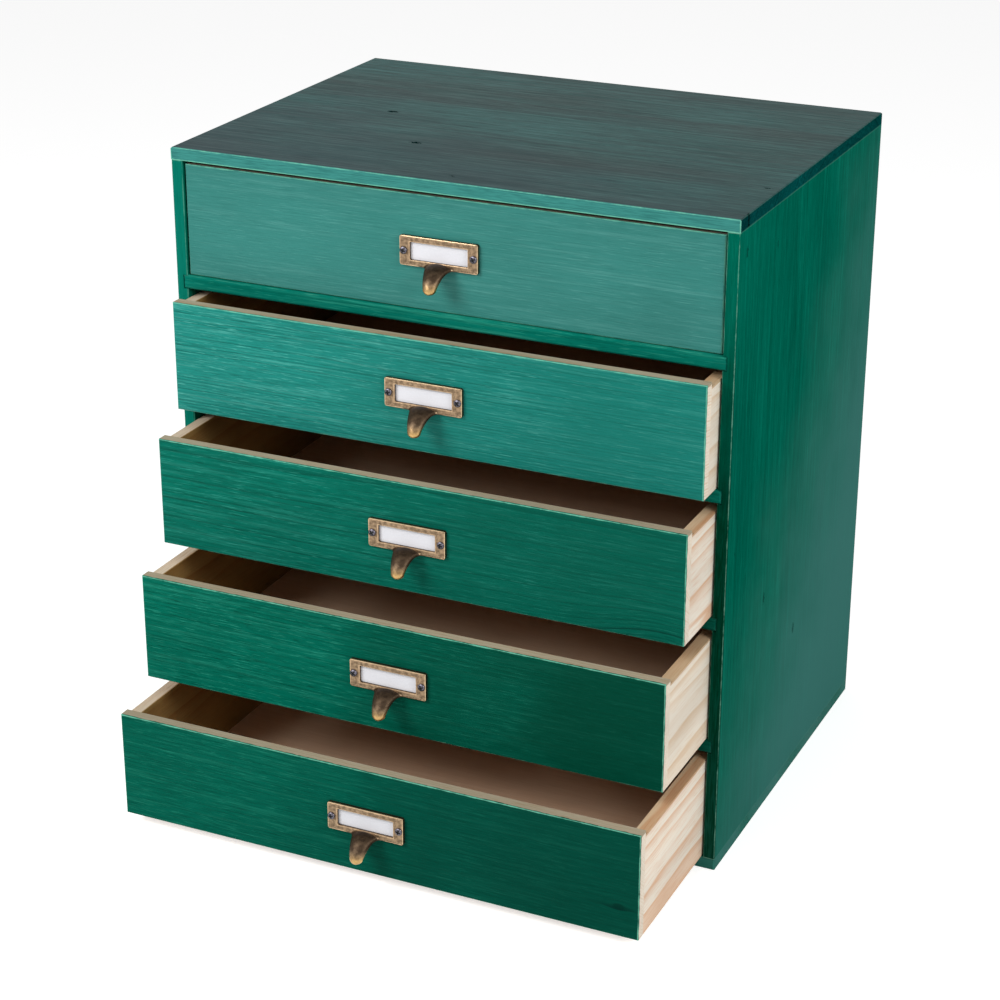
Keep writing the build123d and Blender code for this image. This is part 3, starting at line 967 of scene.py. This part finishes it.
# The frame's arrises, outside and round the window, are rubbed bright; the rim of the tongue is
# rubbed bright and carries a painted highlight too
on_frame = times(tree, fade(tree, out, -3.2 * mm, -2.9 * mm),
                 fade(tree, up, -11.4 * mm, -10.9 * mm))
half_width, half_height = pull_width / 2, frame_height / 2
frame_box = {"Vector": place, "Low": (-half_width, -frame_thickness, -half_height),
             "High": (half_width, 0, half_height), "Width": 0.9 * mm, "Ragged": 0.3}
outer_edge = use_group(tree, "Board edges", frame_box)["Wear And Highlight"]
beyond = maths(tree, "MAXIMUM", maths(tree, "SUBTRACT", side_on, half_width - frame_end),
               maths(tree, "SUBTRACT", maths(tree, "ABSOLUTE", up), half_height - frame_rail))
window_edge = times(tree, fade(tree, beyond, 0.8 * mm, 0.4 * mm), 0.6)
frame_edge = times(tree, maths(tree, "MAXIMUM", outer_edge, window_edge), on_frame)
bend_reach, bend_drop = tongue_reach - tongue_crown, tongue_drop - tongue_crown
bend = vectors(tree, "SUBTRACT", place, (0, -frame_thickness, -half_height - bend_drop))
bend = vectors(tree, "MULTIPLY", bend, (0, 1 / bend_reach, 1 / bend_drop))
# The tongue's rim: rubbed bright, and a painted highlight line along it
rim = fade(tree, vectors(tree, "LENGTH", bend), 1.10, 1.03)
below_root = times(tree, one_minus(tree, on_frame), fade(tree, up, -12.0 * mm, -16.0 * mm))
rim = times(tree, rim, below_root)
edge = maths(tree, "MAXIMUM", frame_edge, rim)
# Darker near the wood; darker round the tongue's root and over its upper part, partly patina and
# partly painted shade; a painted shadow on the frame's lower edge beside the root; brighter and
# more golden towards the tip, partly rubbing and partly a painted highlight
dirt_and_shade = fade(tree, out, -2.3 * mm, -1.5 * mm, 0.0, 0.85)
root_patina_and_shade = times(tree, fade(tree, up, -13.0 * mm, -21.0 * mm, 0.85, 0.1),
             fade(tree, out, -3.1 * mm, -4.0 * mm))
# Painted shadow on the frame's lower edge beside the tongue's root
shadow_beside_root = times(tree, fade(tree, side_on, 16.5 * mm, 13.5 * mm, 0.0, 0.85),
               fade(tree, up, -9.4 * mm, -10.4 * mm))
shadow_beside_root = times(tree, shadow_beside_root, fade(tree, up, -13.0 * mm, -19.0 * mm, 1.0, 0.0))
dirt_and_shade = maths(tree, "MAXIMUM", dirt_and_shade, maths(tree, "MAXIMUM", root_patina_and_shade, shadow_beside_root))
# The tongue's lower part: rubbed by fingers, and a painted highlight, paler and more golden
handled_and_highlight = fade(tree, up, -14.5 * mm, -22.5 * mm)
rubbed_and_highlit = maths(tree, "MULTIPLY_ADD", edge, 0.6, fade(tree, cloud, 0.30, 0.72, 0.08, 0.46))
rubbed_and_highlit = maths(tree, "MULTIPLY_ADD", handled_and_highlight, 0.32, rubbed_and_highlit)
rubbed_and_highlit = maths(tree, "MULTIPLY_ADD", brushed, 0.18, rubbed_and_highlit)
rubbed_and_highlit = times(tree, maths(tree, "MINIMUM", rubbed_and_highlit, 1.0), one_minus(tree, dirt_and_shade))
bright = mix_colour(tree, handled_and_highlight, swatch(210, 178, 142), swatch(226, 184, 120))
colour = mix_colour(tree, rubbed_and_highlit, swatch(36, 27, 21), bright)
connect(tree, colour, surface.inputs["Base Color"])
connect(tree, fade(tree, rubbed_and_highlit, 0.0, 1.0, 0.46, 0.28), surface.inputs["Roughness"])
surface.inputs["Metallic"].default_value = 1.0
bump = put(tree, "Bump", {"Height": brushed, "Strength": 0.25, "Distance": 0.05 * mm})
connect(tree, bump.outputs["Normal"], surface.inputs["Normal"])


def clouded_material(name, scale, detail, dark, light, metallic=0.0, roughness=0.5, grain=0.5):
    """A material whose colour drifts between two swatches."""
    material, tree, surface = plain_material(name)
    place = put(tree, "TexCoord").outputs["Object"]
    cloud = noise(tree, place, (scale, scale, scale), detail=detail, roughness=grain)
    connect(tree, mix_colour(tree, cloud, dark, light), surface.inputs["Base Color"])
    surface.inputs["Metallic"].default_value = metallic
    surface.inputs["Roughness"].default_value = roughness
    return material, tree, surface, cloud


black_steel, tree, surface, cloud = clouded_material(
    "blackened screw steel", 500.0, 3.0, swatch(62, 60, 68), swatch(126, 122, 132), metallic=1.0)
connect(tree, fade(tree, cloud, 0.3, 0.7, 0.28, 0.42), surface.inputs["Roughness"])
# Painted shade: the faces inside the cross recess are near black and matt, darker than the
# blackened steel of the head
recess_shade = clouded_material(
    "screw recess shade", 500.0, 2.0, swatch(3, 3, 4), swatch(9, 9, 11), roughness=0.7)[0]
paper, tree, surface, cloud = clouded_material(
    "label card", 900.0, 4.0, swatch(216, 216, 221), swatch(232, 232, 237), roughness=0.8,
    grain=0.7)
surface.inputs["Specular IOR Level"].default_value = 0.2
brad_steel = clouded_material(
    "bright brad steel", 700.0, 2.0, swatch(120, 118, 114), swatch(170, 168, 162), metallic=1.0,
    roughness=0.4)[0]
print("metals and card ready")

# %% [markdown]
# ## The screws
#
# Each pull is held by two black screws with cross recesses.  The head is a turned profile, and
# the recess is cut with a boolean: a cross of two narrow wedges, which is how the driver's tip
# really fits.

# %% Screw head
head_radius = 2.8 * mm
head_height = 1.6 * mm
head_rim = 0.45 * mm
shank_radius = 1.4 * mm
shank_length = 8.8 * mm
point_radius = 0.2 * mm
point_length = 1.6 * mm
recess_length = 4.6 * mm
recess_width = 1.35 * mm
recess_depth = 1.1 * mm
screw_inset = 3.25 * mm


def lathe(mesh, profile, count=28):
    """Turn a profile of (radius, height) points about Y, with the height towards -Y."""
    rings = [[Vector((radius * math.cos(2 * math.pi * step / count), -height,
                      radius * math.sin(2 * math.pi * step / count))) for step in range(count)]
             for radius, height in profile]
    skin(mesh, rings, closed=False)


def screw_mesh():
    """One screw with its head's seat at the origin and its recess cut."""
    body = bmesh.new()
    profile = [(point_radius, -shank_length), (shank_radius, -shank_length + point_length),
               (shank_radius, 0.0), (head_radius, 0.0), (head_radius, head_rim)]
    for turn in (math.radians(15 * step) for step in range(1, 6)):
        profile.append((head_radius * math.cos(turn),
                        head_rim + (head_height - head_rim) * math.sin(turn)))
    lathe(body, profile)
    bmesh.ops.recalc_face_normals(body, faces=body.faces)
    data = bpy.data.meshes.new("screw body")
    body.to_mesh(data)
    body.free()
    holder = link_new("screw body", data)
    cutter_mesh = bmesh.new()
    for long_x in (True, False):
        made = []
        for depth, share in ((head_height - recess_depth, 0.45), (head_height + 0.2 * mm, 1.0)):
            long_half, thin_half = recess_length / 2 * share, recess_width / 2 * (0.6 + 0.4 * share)
            x, z = (long_half, thin_half) if long_x else (thin_half, long_half)
            made.append([Vector((way_x * x, -depth, way_z * z))
                         for way_x, way_z in ((-1, -1), (1, -1), (1, 1), (-1, 1))])
        skin(cutter_mesh, made, closed=False)
    bmesh.ops.recalc_face_normals(cutter_mesh, faces=cutter_mesh.faces)
    cutter_data = bpy.data.meshes.new("recess")
    cutter_mesh.to_mesh(cutter_data)
    cutter_mesh.free()
    cutter = link_new("recess", cutter_data)
    cut = holder.modifiers.new("recess", "BOOLEAN")
    cut.object = cutter
    cut.operation = "DIFFERENCE"
    cut.solver = "EXACT"
    cut.use_self = True
    bpy.context.view_layer.update()
    evaluated = holder.evaluated_get(bpy.context.evaluated_depsgraph_get())
    finished = bpy.data.meshes.new_from_object(evaluated)
    bpy.data.objects.remove(holder)
    bpy.data.objects.remove(cutter)
    # The recess's own faces lie under the dome, inside the cross, and get the near-black painted
    # shade
    for face in finished.polygons:
        x, y, z = (abs(value) for value in face.center)
        in_cross = min(x, z) < recess_width / 2 and max(x, z) < recess_length / 2
        from_rim = math.sqrt(max(1 - (x * x + z * z) / head_radius ** 2, 0))
        dome = head_rim + (head_height - head_rim) * from_rim
        under_dome = face.center.y < 0 and y < dome - 0.05 * mm
        face.material_index = 1 if in_cross and under_dome else 0
    return finished


one_screw = screw_mesh()
print("screw faces:", len(one_screw.polygons), "of which in the recess:",
      sum(face.material_index for face in one_screw.polygons))

# %% [markdown]
# ## Setting the pulls in place
#
# The CAD pull says where each one sits: its box gives the middle and the plane of the drawer's
# face.  The detailed casting and the two screws ride on the same drawer and stand in for the
# plainer solids.

# %% Pulls, screws and cards
screw_turns = {1: (20, 65), 2: (-12, 40), 3: (55, 8), 4: (30, -25), 5: (75, 15)}
for number in drawer_numbers:
    body = f"drawer_{number}"
    low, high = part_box(body + "_pull")
    middle = Vector(((low.x + high.x) / 2, high.y, high.z - frame_height / 2))
    mesh = bmesh.new()
    add_frame(mesh, pull_width / 2)
    add_tongue(mesh)
    pull = finish_mesh(mesh, f"label_pull_{number}")
    pull.data.materials.append(brass)
    pull.location = middle
    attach(pull, body)
    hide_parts(body + "_pull")

    mesh = bmesh.new()
    for way, turn in zip((-1, 1), screw_turns[number]):
        seat = Vector((way * (pull_width / 2 - screw_inset), -frame_thickness, 0))
        copy = one_screw.copy()
        copy.transform(Matrix.Translation(seat) @ Matrix.Rotation(math.radians(turn), 4, "Y"))
        mesh.from_mesh(copy)
        bpy.data.meshes.remove(copy)
    screws = finish_mesh(mesh, f"screws_{number}", sharp_angle=35)
    screws.data.materials.append(black_steel)
    screws.data.materials.append(recess_shade)
    screws.location = middle
    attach(screws, body)
    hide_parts(body + "_pull_screws")

    dress(body + "_label_card", paper)
    dress(body + "_brads", brad_steel)
dress("back_brads", brad_steel)
dress("cabinet_brads", brad_steel)
print("pulls in place:", len(screw_turns))

# %% Update the scene
bpy.context.view_layer.update()
